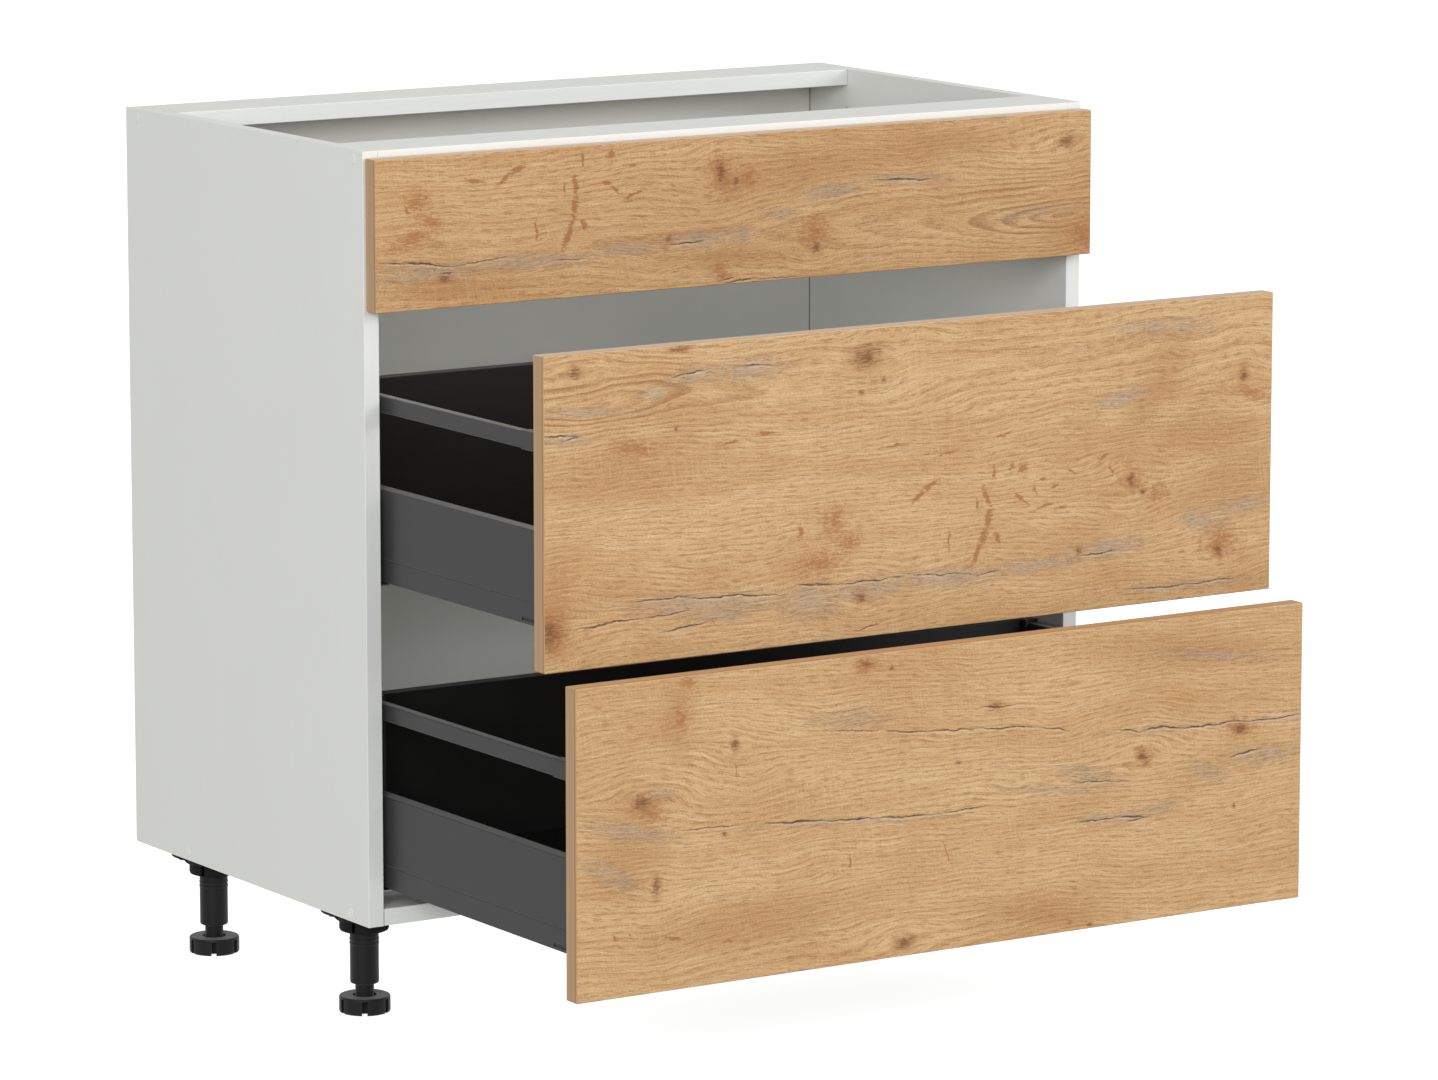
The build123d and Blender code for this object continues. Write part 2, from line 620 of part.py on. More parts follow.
        # hollow corner posts that hold the back and the rear ends of the rails
        for _, s in SIDES:
            with BuildSketch(Plane.XY.offset(base + SIDE_H)):
                with Locations((s * (SIDE_X - SIDE_T / 2), rear - HOLDER_D / 2)):
                    Rectangle(SIDE_T, HOLDER_D)
            extrude(amount=BACK_TOP - SIDE_H)
            with BuildSketch(Plane.XY.offset(base + SIDE_H)):
                with Locations((s * (SIDE_X - SIDE_T / 2), rear - HOLDER_D / 2)):
                    Rectangle(SIDE_T - 2.4, HOLDER_D - 2.4)
            extrude(amount=BACK_TOP - SIDE_H - 1.2, mode=Mode.SUBTRACT)
        fillet(holders.edges().group_by(Axis.Z)[-1], 0.8)
    holders.part.label = f"{drawer}_rail_holders"
    export_step(holders.part, f"parts/{drawer}_rail_holders.step")

    with BuildPart() as brackets:
        # steel angles between the metal sides and the front
        for _, s in SIDES:
            inner = SIDE_X - SIDE_T
            with BuildSketch(Plane.XY.offset(base + 32.0)):
                with BuildLine():
                    Polyline(
                        (s * inner, face),
                        (s * inner, face + 36.0),
                        (s * (inner - 1.6), face + 36.0),
                        (s * (inner - 1.6), face + 1.6),
                        (s * (inner - 25.0), face + 1.6),
                        (s * (inner - 25.0), face),
                        close=True,
                    )
                make_face()
            extrude(amount=48.0)
        with Locations(
            *[
                Location((s * (SIDE_X - SIDE_T - 13.0), face + 1.6, z), (-90, 0, 0))
                for _, s in SIDES
                for z in bracket_z
            ]
        ):
            Hole(SCREW_R + 0.25, 2.0)
    brackets.part.label = f"{drawer}_front_brackets"
    export_step(brackets.part, f"parts/{drawer}_front_brackets.step")

    with BuildPart() as screws:
        for _, s in SIDES:
            seats = [
                Plane((s * (SIDE_X - SIDE_T - 13.0), face + 1.6, z), x_dir=(1, 0, 0), z_dir=(0, 1, 0))
                for z in bracket_z
            ] + [
                Plane(
                    (s * (SIDE_X - SIDE_T - 12.0), face + v, base + LEDGE_TOP - 1.0),
                    x_dir=(1, 0, 0),
                    z_dir=(0, 0, -1),
                )
                for v in (60, 200, 340)
            ]
            for seat in seats:
                with BuildSketch(seat):
                    Circle(SCREW_HEAD_R)
                extrude(amount=2.2)
                with BuildSketch(seat):
                    Circle(SCREW_R)
                extrude(amount=-13.0)
    screws.part.label = f"{drawer}_drawer_screws"
    export_step(screws.part, f"parts/{drawer}_drawer_screws.step")

    with BuildPart() as runner_drawer:
        # members fixed inside the metal sides, riding in the middle members
        for _, s in SIDES:
            with BuildSketch(Plane.XZ.offset(-(rear - 4.0))):
                with BuildLine():
                    Polyline(
                        (s * (SIDE_X - 13.0), mid + 2.3),
                        (s * (SIDE_X - 7.2), mid + 2.3),
                        (s * (SIDE_X - 7.2), mid + 3.8),
                        (s * (SIDE_X - 9.8), mid + 3.8),
                        (s * (SIDE_X - 9.8), mid + MIDDLE_H),
                        (s * (SIDE_X - 13.0), mid + MIDDLE_H),
                        close=True,
                    )
                make_face()
            extrude(amount=SIDE_L - 10.0)
    runner_drawer.part.label = f"{drawer}_runner_drawer_members"
    export_step(runner_drawer.part, f"parts/{drawer}_runner_drawer_members.step")
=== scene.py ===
"""Looks for the kitchen base cabinet: finishes for every piece, floor, light and camera."""

import math

import bpy
from mathutils import Euler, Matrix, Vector

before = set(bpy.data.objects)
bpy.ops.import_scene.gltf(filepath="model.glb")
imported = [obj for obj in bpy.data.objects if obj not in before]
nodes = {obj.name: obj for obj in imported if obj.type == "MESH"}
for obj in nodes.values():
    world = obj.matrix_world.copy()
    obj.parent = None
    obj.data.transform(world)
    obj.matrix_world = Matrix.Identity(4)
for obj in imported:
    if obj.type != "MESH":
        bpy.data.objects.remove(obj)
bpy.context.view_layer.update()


# ------------------------------------------------------------------ helpers
def lin(r, g, b):
    """8-bit display colour to linear RGBA."""
    out = []
    for c in (r, g, b):
        c /= 255.0
        out.append(c / 12.92 if c <= 0.04045 else ((c + 0.055) / 1.055) ** 2.4)
    return (*out, 1.0)


class Net:
    """Small helper that writes shader nodes."""

    def __init__(self, name):
        self.mat = bpy.data.materials.new(name)
        self.mat.use_nodes = True
        self.tree = self.mat.node_tree
        self.tree.nodes.clear()
        self.out = self.tree.nodes.new("ShaderNodeOutputMaterial")
        self.bsdf = self.tree.nodes.new("ShaderNodeBsdfPrincipled")
        self.tree.links.new(self.bsdf.outputs[0], self.out.inputs[0])
        self.coord = self.tree.nodes.new("ShaderNodeTexCoord")
        self.mm = self.vec("SCALE", self.coord.outputs["Object"], scale=1000.0)
        self.split = self.xyz(self.mm)

    def put(self, socket, value):
        if isinstance(value, bpy.types.NodeSocket):
            self.tree.links.new(value, socket)
        elif value is not None:
            socket.default_value = value

    def math(self, op, a, b=None, c=None, clamp=False):
        n = self.tree.nodes.new("ShaderNodeMath")
        n.operation = op
        n.use_clamp = clamp
        for i, v in enumerate((a, b, c)):
            self.put(n.inputs[i], v)
        return n.outputs[0]

    def vec(self, op, a, b=None, scale=None):
        n = self.tree.nodes.new("ShaderNodeVectorMath")
        n.operation = op
        self.put(n.inputs[0], a)
        self.put(n.inputs[1], b)
        if scale is not None:
            self.put(n.inputs["Scale"], scale)
        return n.outputs["Value"] if op in ("LENGTH", "DOT_PRODUCT", "DISTANCE") else n.outputs["Vector"]

    def xyz(self, v):
        n = self.tree.nodes.new("ShaderNodeSeparateXYZ")
        self.put(n.inputs[0], v)
        return n.outputs

    def join(self, x, y, z):
        n = self.tree.nodes.new("ShaderNodeCombineXYZ")
        for i, v in enumerate((x, y, z)):
            self.put(n.inputs[i], v)
        return n.outputs[0]

    def noise(self, v, scale=1.0, detail=2.0, rough=0.5, distortion=0.0, color=False):
        n = self.tree.nodes.new("ShaderNodeTexNoise")
        self.put(n.inputs["Vector"], v)
        self.put(n.inputs["Scale"], scale)
        self.put(n.inputs["Detail"], detail)
        self.put(n.inputs["Roughness"], rough)
        self.put(n.inputs["Distortion"], distortion)
        return n.outputs["Color" if color else "Fac"]

    def white(self, v):
        n = self.tree.nodes.new("ShaderNodeTexWhiteNoise")
        n.noise_dimensions = "1D"
        self.put(n.inputs["W"], v)
        return n.outputs["Value"]

    def voronoi(self, v, scale=1.0, feature="F1", output="Distance"):
        n = self.tree.nodes.new("ShaderNodeTexVoronoi")
        n.feature = feature
        self.put(n.inputs["Vector"], v)
        self.put(n.inputs["Scale"], scale)
        return n.outputs[output]

    def map(self, v, lo, hi, to_lo=0.0, to_hi=1.0, smooth=True):
        n = self.tree.nodes.new("ShaderNodeMapRange")
        n.interpolation_type = "SMOOTHSTEP" if smooth else "LINEAR"
        self.put(n.inputs["Value"], v)
        for key, x in (("From Min", lo), ("From Max", hi), ("To Min", to_lo), ("To Max", to_hi)):
            self.put(n.inputs[key], x)
        return n.outputs["Result"]

    def mix(self, fac, a, b, blend="MIX"):
        n = self.tree.nodes.new("ShaderNodeMix")
        n.data_type = "RGBA"
        n.blend_type = blend
        self.put(n.inputs[0], fac)
        self.put(n.inputs[6], a)
        self.put(n.inputs[7], b)
        return n.outputs[2]

    def place(self, v, x, z, a, b, angle):
        """Coordinates in units of an ellipse in the XZ plane."""
        n = self.tree.nodes.new("ShaderNodeMapping")
        n.vector_type = "TEXTURE"
        self.put(n.inputs["Vector"], v)
        n.inputs["Location"].default_value = (x, 0.0, z)
        n.inputs["Rotation"].default_value = (0.0, -math.radians(angle), 0.0)
        n.inputs["Scale"].default_value = (a, 1e6, b)
        return n.outputs[0]

    def stretch(self, v, x, y, z, offset=(0.0, 0.0, 0.0)):
        n = self.tree.nodes.new("ShaderNodeMapping")
        n.vector_type = "POINT"
        self.put(n.inputs["Vector"], v)
        n.inputs["Location"].default_value = offset
        n.inputs["Scale"].default_value = (x, y, z)
        return n.outputs[0]

    def after(self, v, value):
        """The same vector, worked out only once the given value is known."""
        n = self.tree.nodes.new("ShaderNodeVectorMath")
        n.operation = "MULTIPLY_ADD"
        self.put(n.inputs[0], value)
        n.inputs[1].default_value = (1e-9, 1e-9, 1e-9)
        self.put(n.inputs[2], v)
        return n.outputs["Vector"]

    def nearest(self, v, spots):
        """Smallest elliptical distance to any of the given spots."""
        best = None
        for s in spots:
            d = self.vec("LENGTH", self.place(v, *s))
            best = d if best is None else self.math("MINIMUM", best, d)
        return best

    def bump(self, height, strength, distance):
        n = self.tree.nodes.new("ShaderNodeBump")
        n.inputs["Strength"].default_value = strength
        n.inputs["Distance"].default_value = distance
        self.put(n.inputs["Height"], height)
        self.put(self.bsdf.inputs["Normal"], n.outputs[0])

    def set(self, **values):
        names = {
            "color": "Base Color",
            "rough": "Roughness",
            "metal": "Metallic",
            "spec": "Specular IOR Level",
            "coat": "Coat Weight",
            "coat_rough": "Coat Roughness",
            "ior": "IOR",
            "sheen": "Sheen Weight",
            "sheen_rough": "Sheen Roughness",
        }
        for k, v in values.items():
            self.put(self.bsdf.inputs[names[k]], v)
        return self.mat


# -------------------------------------------------------------- oak fronts
# Places on each front, in millimetres in the cabinet's frame: x, z, half
# length, half width, tilt in degrees. "face" is the y of the visible face,
# "heart" the middle of the ring loops and "top_painted_light" the painted
# highlight tint of the top edge, a painted shade tint on the lower front.
BLANK = {
    "face": -66.0,
    "heart": (366.0, 720.0, 0.25, 200.0),
    "loops": 2.8,
    "grey": 0.76,
    "top_painted_light": (214, 190, 163),
    "swell": [],
    "tilt": 0.0,
    "shade": [(380, 698, 48, 30, 10), (60, 778, 85, 20, 4), (215, 790, 70, 16, 2), (-20, 700, 60, 10, 0), (-318, 690, 60, 8, 0)],
    "glow": [(-270, 770, 60, 22, 0), (-110, 745, 70, 16, 0), (160, 712, 60, 14, 0), (300, 760, 60, 14, 0)],
    "blotch": [
        (-354, 773, 10, 10, -61), (-340, 755, 9, 6, -11), (-361, 738, 21, 7, 13), (4, 773, 9, 7, -4),
        (80, 719, 14, 11, -4), (-26, 686, 9, 7, -32), (391, 694, 14, 14, 17), (-25, 776, 17, 11, -62),
    ],
    "fleck": [
        (-263, 788, 8, 2.9, 38), (-249, 796, 11, 3.2, 24), (-186, 778, 11, 2.7, -80), (-187, 758, 12, 3.2, -99),
        (-194, 733, 16, 3.2, -114), (-178, 801, 7.4, 1.7, -80), (-147, 803, 5, 4.5, -17), (-124, 792, 4.2, 1.7, 3),
        (-152, 778, 6, 2, -14), (-143, 771, 6, 1.7, -41), (-123, 766, 11.6, 1.5, 17), (-177, 741, 5.6, 2.7, -55),
        (-198, 776, 7.8, 1.2, -90), (-366, 766, 5, 1.5, -61), (-228, 738, 10, 1.2, -86), (-294, 788, 12, 1.7, -12),
    ],
    "crack": [
        (-355, 716, 40, 0.9, -4.8), (-288, 714.6, 31, 0.5, 3.3), (-324, 707, 6.3, 0.8, 3), (-193, 710.5, 18, 0.6, 0.6),
        (-64, 716.4, 21, 0.8, 2.4), (-19, 680.4, 9, 0.6, 8), (181, 760, 29, 0.9, -3), (-4, 677.6, 17, 0.7, 1.7),
        (36, 676.6, 23, 0.5, -1),
    ],
    "smear": [
        (-344, 707.5, 52, 9, 1.4), (-240, 711, 65, 7, -0.5), (-134, 714.6, 51, 5, 2.4), (-49, 719, 39, 7.5, 0),
        (183, 761, 38, 4.5, -3.6), (97, 755, 31, 6, 1.6), (-5, 719, 16, 7.5, 0), (41, 737, 18, 4.5, -7),
        (318, 716, 42, 3, 4), (358, 722, 40, 2, 0),
    ],
    "knot": [
        (-326, 701, 6.5, 3.6, 0), (-84, 721, 3.2, 2.7, 0), (-27, 781, 4.6, 9, 0), (-10, 770, 2.7, 4, 0),
        (370, 785, 8, 6, 0), (79, 702, 5.4, 5.5, 0),
    ],
}
UPPER = {
    "face": -358.0,
    "heart": (-345.0, 622.0, 0.22, 150.0),
    "loops": 2.2,
    "grey": 0.80,
    "top_painted_light": (214, 190, 163),
    "swell": [(272, 612, 70, 40, 15)],
    "tilt": 0.0,
    "shade": [(262, 586, 20, 56, -38), (352, 496, 60, 26, 6), (-386, 452, 20, 40, 0), (-320, 560, 70, 18, 0), (320, 545, 70, 20, -6)],
    "glow": [(-200, 500, 110, 26, 0), (60, 610, 110, 26, 0), (0, 470, 60, 22, 0), (200, 655, 150, 10, 0), (-160, 618, 50, 16, 0)],
    "blotch": [
        (-93, 497, 11, 11, -43), (-79, 475, 9, 8.5, -37), (-109, 460, 20, 7, 4), (266, 491, 9, 8.5, -5),
        (340, 440, 16, 11, -5), (-392, 425, 17, 13, -72), (376, 575, 16, 4, -18), (-306, 581, 20, 6, -9),
        (238, 505, 9, 9, -40),
    ],
    "fleck": [
        (-2, 512, 8, 2.9, 40), (10, 520, 11, 2.9, 21), (74, 504, 11, 2.9, -69), (76, 485, 11, 3.4, -101),
        (71, 469, 8, 4, -110), (63, 453, 11, 3.4, -115), (82, 526, 6, 1.7, -84), (114, 528, 6, 3.7, 11),
        (137, 516, 3.7, 2, -2), (110, 501, 6, 2, -21), (118, 495, 5.5, 1.7, -42), (139, 490, 11, 1.5, 15),
        (85, 466, 6, 2.9, -54), (63, 499, 6.7, 1.2, -87), (32, 467, 11, 1.2, -89), (-206, 577, 13, 1.2, 5),
        (-166, 583, 11, 1.5, 0), (-130, 490, 7, 2.7, 96), (101, 531, 4, 2.4, 70), (128, 505, 4, 1.8, -60),
        (150, 508, 5, 1.6, 30), (168, 520, 6, 1.5, -30), (205, 530, 7, 1.6, 24), (214, 517, 5, 1.8, -50),
        (156, 487, 7, 1.4, 8), (-30, 560, 12, 1.4, 4), (30, 548, 10, 1.3, 8), (92, 560, 9, 1.3, 14),
    ],
    "crack": [
        (-247, 643, 19, 0.8, 7), (-177, 644, 27, 0.5, -3.5), (-379, 598, 19, 0.9, -6), (-370, 595, 9, 0.6, 8),
        (-276, 444, 30, 0.7, -1), (-202, 439, 55, 0.8, -4), (-335, 427, 39, 0.8, 2.5), (-272, 429.5, 26, 0.5, 2),
        (-251, 416.4, 24, 0.8, 5.6), (-112, 441, 21, 0.9, -5.7), (-55, 439, 42, 0.6, 1.6), (199, 441, 21, 0.8, 3),
        (269, 403, 33, 0.8, -1), (330, 402.7, 34, 0.6, 1), (-53, 397.6, 17, 0.5, 10), (20, 438, 44, 0.5, -6),
        (76, 434, 12, 0.6, 2),
    ],
    "smear": [
        (-241, 641, 26, 7, 3), (-184, 642, 36, 9, 1), (-286, 628, 13, 6, 5), (-372, 594, 26, 4, -2),
        (-351, 617, 47, 3.7, -3), (-232, 435, 86, 9, -4), (-117, 426, 30, 14, 0), (-55, 432, 44, 9, 2.6),
        (32, 434, 58, 8.5, -2), (132, 436, 49, 6, 2), (211, 445, 40, 8.5, 2), (318, 461, 24, 8.5, -12),
        (367, 471, 31, 6, 3.5), (269, 647, 50, 6, -1.5), (224, 583, 27, 7, 10), (300, 401, 64, 3.2, -1),
        (-212, 422, 34, 4, 0),
    ],
    "knot": [
        (-59, 644, 14, 10.5, 0), (-367, 653, 6.5, 5, 0), (-257, 666, 9.7, 2.3, 0), (-394, 424, 11, 13, 0),
        (-64, 425, 6, 5, 0), (-64, 612, 2.4, 2, 0), (-40, 622, 2.4, 2, 0), (-261, 595, 1.9, 1.8, 0),
        (365, 594, 4.3, 8, 0), (177, 445, 3.2, 3.2, 0), (250, 494, 2.8, 3, 0), (236, 506, 4.4, 6.2, 0),
        (337, 431, 5.4, 5.5, 0),
    ],
}
LOWER = {
    "face": -410.0,
    "heart": (140.0, 92.0, 0.34, 150.0),
    "loops": 0.9,
    "grey": 0.52,
    "top_painted_light": (199, 158, 114),
    "swell": [(-330, 300, 120, 50, 14)],
    "tilt": 0.035,
    "shade": [(96, 122, 60, 14, -8), (-345, 232, 36, 46, -10), (-220, 150, 120, 20, 0), (260, 352, 110, 18, -6), (-292, 350, 16, 36, 0)],
    "glow": [(-60, 270, 150, 26, -4), (120, 170, 160, 22, -2), (-170, 330, 90, 22, -4), (330, 210, 60, 26, 0), (-250, 190, 80, 18, 0)],
    "blotch": [
        (-282, 377, 7, 4, 8), (-290, 346, 9, 4, -83), (-323, 266, 14, 7, -26), (217, 256, 8, 7, -11),
        (325, 272, 15, 7, -8), (-92, 372, 11, 6, 6),
    ],
    "fleck": [
        (-297, 148, 11, 1.5, -9), (-239, 138, 8, 1, -2), (-360, 157, 3.5, 1.2, -56), (-344, 156, 3, 1, -51),
        (-110, 195, 7, 1, -88), (-232, 294, 9, 0.7, -82), (-4, 191, 15, 0.7, -64),
    ],
    "crack": [
        (-169, 239, 35, 1.2, -4), (-109, 234, 28, 0.7, -4.5), (-50, 230, 34, 0.7, -3.4), (-43, 308, 27, 0.9, -6.7),
        (-104, 314.5, 37, 0.4, -6), (0, 304.5, 27, 0.8, -4), (62, 299.5, 38, 0.7, -5), (115, 294, 19, 0.6, -10),
        (200, 283, 17, 0.6, -9), (237, 281, 23, 0.9, -3.5), (281, 278, 26, 1.2, -2.6), (317, 277.7, 18, 0.9, 0),
        (364, 276.6, 34, 0.7, 0), (10, 229, 33, 0.6, 0), (163, 203, 26, 0.6, -2), (203, 201, 18, 0.9, -7),
        (208, 198, 12, 0.6, 2), (333, 247, 19, 0.8, 8), (50, 321, 23, 0.6, -1), (-259, 244, 33, 0.5, 0),
        (166, 238, 31, 0.5, -5.6),
    ],
    "smear": [
        (152, 246, 35, 8, -17), (289, 234, 20, 8, -25), (356, 242, 43, 8, -1), (183, 203, 49, 4.4, -3),
        (232, 205, 17, 5, 6), (-346, 250, 43, 7, -12), (-362, 212, 29, 8, -28), (-311, 280, 17, 5, -6),
        (291, 278, 107, 2.7, -2), (-110, 232, 95, 2.4, -4), (-110, 326, 40, 7, -6), (299, 343, 56, 5, -8),
        (114, 237, 48, 3.7, -7),
    ],
    "knot": [
        (-331, 274.6, 9, 6.5, 0), (-233, 316, 3.5, 6, 0), (-316, 197, 4, 8, 0), (-93, 375, 7, 2.7, 0),
        (-66, 368, 2.4, 1.8, 0), (-51, 114, 9, 6, 0), (-244, 237, 2.4, 2, 0), (49, 321, 7.6, 3.2, 0),
        (215, 257, 6, 5.5, 0), (327, 271, 8, 4, 0), (8, 274, 2.4, 1.8, 0), (320, 198, 1.6, 2.3, 0),
        (156, 105, 2.7, 2, 0), (133, 110, 2.7, 1.8, 0),
    ],
}


def oak(name, spec, shift, tone):
    """Matt oak-decor laminate, grain along X, with an edge band on the narrow faces."""
    t = Net(name)
    p = t.mm
    x, y, z = t.split
    seed = t.vec("ADD", p, (shift, 0.0, shift * 0.37))
    half = (0.5, 0.5, 0.5)

    # grain flows round the knots and over the swells
    flow = z
    bends = [(kx, kz, a * 3.6 + 16, b * 2.2 + 11, b * 1.7 + 6) for kx, kz, a, b, _ in spec["knot"] if b > 4.5]
    for kx, kz, rx, rz, push in bends + spec["swell"]:
        u = t.place(p, kx, kz, rx, rz, 0.0)
        up = t.vec("DOT_PRODUCT", u, (0.0, 0.0, 1.0))
        fall = t.math("DIVIDE", up, t.math("ADD", t.vec("DOT_PRODUCT", u, u), 1.0))
        flow = t.math("MULTIPLY_ADD", fall, -push, flow)
    sway = t.noise(t.stretch(seed, 1 / 170, 0.0, 1 / 75), 1.0, 2.0, 0.5)
    curl = t.noise(t.stretch(seed, 1 / 62, 0.0, 1 / 16), 1.0, 2.0, 0.5)
    flow = t.math("MULTIPLY_ADD", sway, 30.0, t.math("MULTIPLY_ADD", curl, 2.4, flow))
    flow = t.math("MULTIPLY_ADD", x, spec["tilt"], flow)

    # growth rings of a log cut lengthways: long nested loops round one place
    cx, cz, slope, reach = spec["heart"]
    across = t.math("SUBTRACT", flow, cz + 16.5 + cx * spec["tilt"])
    along = t.math("SUBTRACT", x, cx)
    along = t.math("DIVIDE", along, t.math("MULTIPLY_ADD", t.math("ABSOLUTE", along), 1.0 / reach, 1.0))
    along = t.math("MULTIPLY", along, slope)
    ring = t.math("MULTIPLY_ADD", along, along, t.math("MULTIPLY_ADD", across, across, 9.0))
    ring = t.math("SQRT", ring)
    phase = t.math("DIVIDE", ring, 4.6)
    f = t.math("FRACT", phase)
    line = t.math("MULTIPLY", t.map(f, 0.30, 0.86), t.map(f, 1.0, 0.90))
    each = t.map(t.white(t.math("FLOOR", phase)), 0.0, 1.0, 0.32, 1.0, smooth=False)
    fade = t.map(t.noise(t.stretch(seed, 1 / 60, 0.0, 1 / 26, (31, 0, 7)), 1.0, 3.0, 0.6), 0.34, 0.62, 0.25, 1.0)
    line = t.math("MULTIPLY", t.math("MULTIPLY", line, each), fade)
    loops = t.map(t.vec("LENGTH", t.place(p, cx, cz, 150.0, 46.0, 0.0)), 1.3, 0.4)
    line = t.math("MULTIPLY", line, t.math("MULTIPLY_ADD", loops, spec["loops"], 1.0))

    # fibres and open pores along the rings
    grain = t.join(x, 0.0, flow)
    fibre = t.noise(t.stretch(grain, 1 / 50, 0.0, 1 / 1.4, (shift, 0, 0)), 1.0, 4.0, 0.66)
    dashes = t.noise(t.stretch(grain, 1 / 12, 0.0, 1 / 1.05, (shift, 0, 40)), 1.0, 2.0, 0.6)
    open_at = t.map(f, 0.1, 0.85, 0.585, 0.48, smooth=False)
    pore = t.map(dashes, open_at, t.math("ADD", open_at, 0.10))
    cells = t.voronoi(t.stretch(grain, 1 / 17, 0.0, 1 / 2.2, (shift, 0, 3)), 1.0)
    vessel = t.math("MULTIPLY", t.map(cells, 0.36, 0.18), t.map(f, 0.0, 0.8, 0.35, 1.0))
    grit = t.noise(t.stretch(p, 1 / 2.1, 1.0, 1 / 1.0), 1.0, 2.0, 0.6)

    # broad tones
    tone_a = t.noise(t.stretch(grain, 1 / 210, 0.0, 1 / 22, (shift, 0, 9)), 1.0, 3.0, 0.55)
    tone_b = t.noise(t.stretch(seed, 1 / 150, 0.0, 1 / 55, (50, 0, 90)), 1.0, 3.0, 0.55)
    col = t.mix(t.map(tone_a, 0.30, 0.66), lin(206, 166, 116), lin(218, 184, 138))
    col = t.mix(t.map(tone_b, 0.44, 0.72, 0.0, 0.7), col, lin(196, 150, 98))
    veil = t.nearest(p, spec["shade"])
    col = t.mix(t.map(veil, 1.7, 0.2, 0.0, 0.62), col, lin(178, 130, 82))
    glow = t.nearest(t.after(p, veil), spec["glow"])
    col = t.mix(t.map(glow, 1.6, 0.2, 0.0, 0.5), col, lin(222, 190, 146))
    col = t.mix(t.map(fibre, 0.44, 0.66, 0.0, 0.72, smooth=False), col, lin(186, 142, 92))
    col = t.mix(t.map(fibre, 0.46, 0.30, 0.0, 0.62, smooth=False), col, lin(228, 197, 152))
    col = t.mix(t.math("MULTIPLY", line, 0.34), col, lin(158, 112, 68))
    col = t.mix(t.math("MULTIPLY", pore, 0.50), col, lin(148, 104, 62))
    col = t.mix(t.math("MULTIPLY", vessel, 0.42), col, lin(148, 102, 60))
    col = t.mix(t.map(grit, 0.42, 0.70, 0.0, 0.42, smooth=False), col, lin(170, 125, 78))
    col = t.mix(t.map(grit, 0.47, 0.28, 0.0, 0.36, smooth=False), col, lin(232, 205, 164))

    # faint saw marks across the grain, in patches
    saw = t.noise(t.stretch(t.join(t.math("MULTIPLY_ADD", z, 0.13, x), 0.0, z), 1 / 1.5, 0.0, 1 / 60, (shift, 0, 17)), 1.0, 2.0, 0.5)
    patch = t.map(t.noise(t.stretch(seed, 1 / 120, 0.0, 1 / 80, (71, 0, 13)), 1.0, 2.0, 0.5), 0.44, 0.64)
    col = t.mix(t.math("MULTIPLY", t.map(saw, 0.54, 0.70), t.math("MULTIPLY", patch, 0.22)), col, lin(226, 196, 152))
    col = t.mix(t.math("MULTIPLY", t.map(saw, 0.44, 0.30), t.math("MULTIPLY", patch, 0.20)), col, lin(168, 122, 76))

    # ragged edges for what was placed one by one
    fray = t.vec("SUBTRACT", t.noise(t.stretch(seed, 1 / 15, 0.0, 1 / 8), 1.0, 4.0, 0.62, color=True), half)
    soft = t.vec("ADD", p, t.vec("MULTIPLY", fray, (30.0, 0.0, 14.0)))
    crisp = t.vec("ADD", p, t.vec("MULTIPLY", fray, (9.0, 0.0, 7.0)))
    drift = t.vec("SUBTRACT", t.noise(t.stretch(seed, 1 / 46, 0.0, 1 / 60), 1.0, 4.0, 0.6, color=True), half)
    split = t.vec("ADD", p, t.vec("ADD", t.vec("MULTIPLY", drift, (0.0, 0.0, 7.5)), t.vec("MULTIPLY", fray, (0.0, 0.0, 4.4))))
    streak = t.noise(t.stretch(seed, 1 / 13, 0.0, 1 / 1.5, (9, 0, 5)), 1.0, 4.0, 0.68)
    speck = t.noise(t.stretch(seed, 1 / 6, 0.0, 1 / 2.2, (19, 0, 35)), 1.0, 4.0, 0.70)

    # grey weathered smears beside the cracks
    d = t.nearest(soft, spec["smear"])
    near = t.math("SUBTRACT", 1.0, t.math("MULTIPLY", d, 0.85))
    smear = t.map(t.math("MULTIPLY_ADD", t.math("SUBTRACT", streak, 0.5), 4.2, near), -0.05, 0.75)
    col = t.mix(t.math("MULTIPLY", smear, spec["grey"]), col, lin(187, 162, 133))
    soil = t.math("MULTIPLY", t.map(d, 1.5, 0.4), t.map(t.math("MAXIMUM", speck, t.math("SUBTRACT", streak, 0.05)), 0.54, 0.65))
    col = t.mix(t.math("MULTIPLY", soil, 0.62), col, lin(134, 108, 83))
    vein = t.map(t.math("ABSOLUTE", t.math("SUBTRACT", fibre, 0.5)), 0.026, 0.006)
    vein = t.math("MULTIPLY", vein, t.map(t.math("MULTIPLY_ADD", t.math("SUBTRACT", speck, 0.5), -2.0, d), 1.7, 0.9))
    col = t.mix(t.math("MULTIPLY", vein, 0.64), col, lin(112, 88, 66))

    # brown stains and ray flecks
    d = t.nearest(t.after(soft, d), spec["blotch"])
    near = t.math("SUBTRACT", 1.0, t.math("MULTIPLY", d, 0.52))
    stain = t.map(t.math("MULTIPLY_ADD", t.math("SUBTRACT", speck, 0.5), 3.4, near), 0.0, 1.15)
    col = t.mix(t.math("MULTIPLY", stain, 0.86), col, lin(167, 110, 62))
    d = t.nearest(t.after(crisp, d), spec["fleck"])
    near = t.math("SUBTRACT", 1.28, d)
    fleck = t.map(t.math("MULTIPLY_ADD", t.math("SUBTRACT", speck, 0.5), 3.4, near), 0.0, 0.8)
    col = t.mix(t.math("MULTIPLY", fleck, 0.80), col, lin(160, 103, 58))

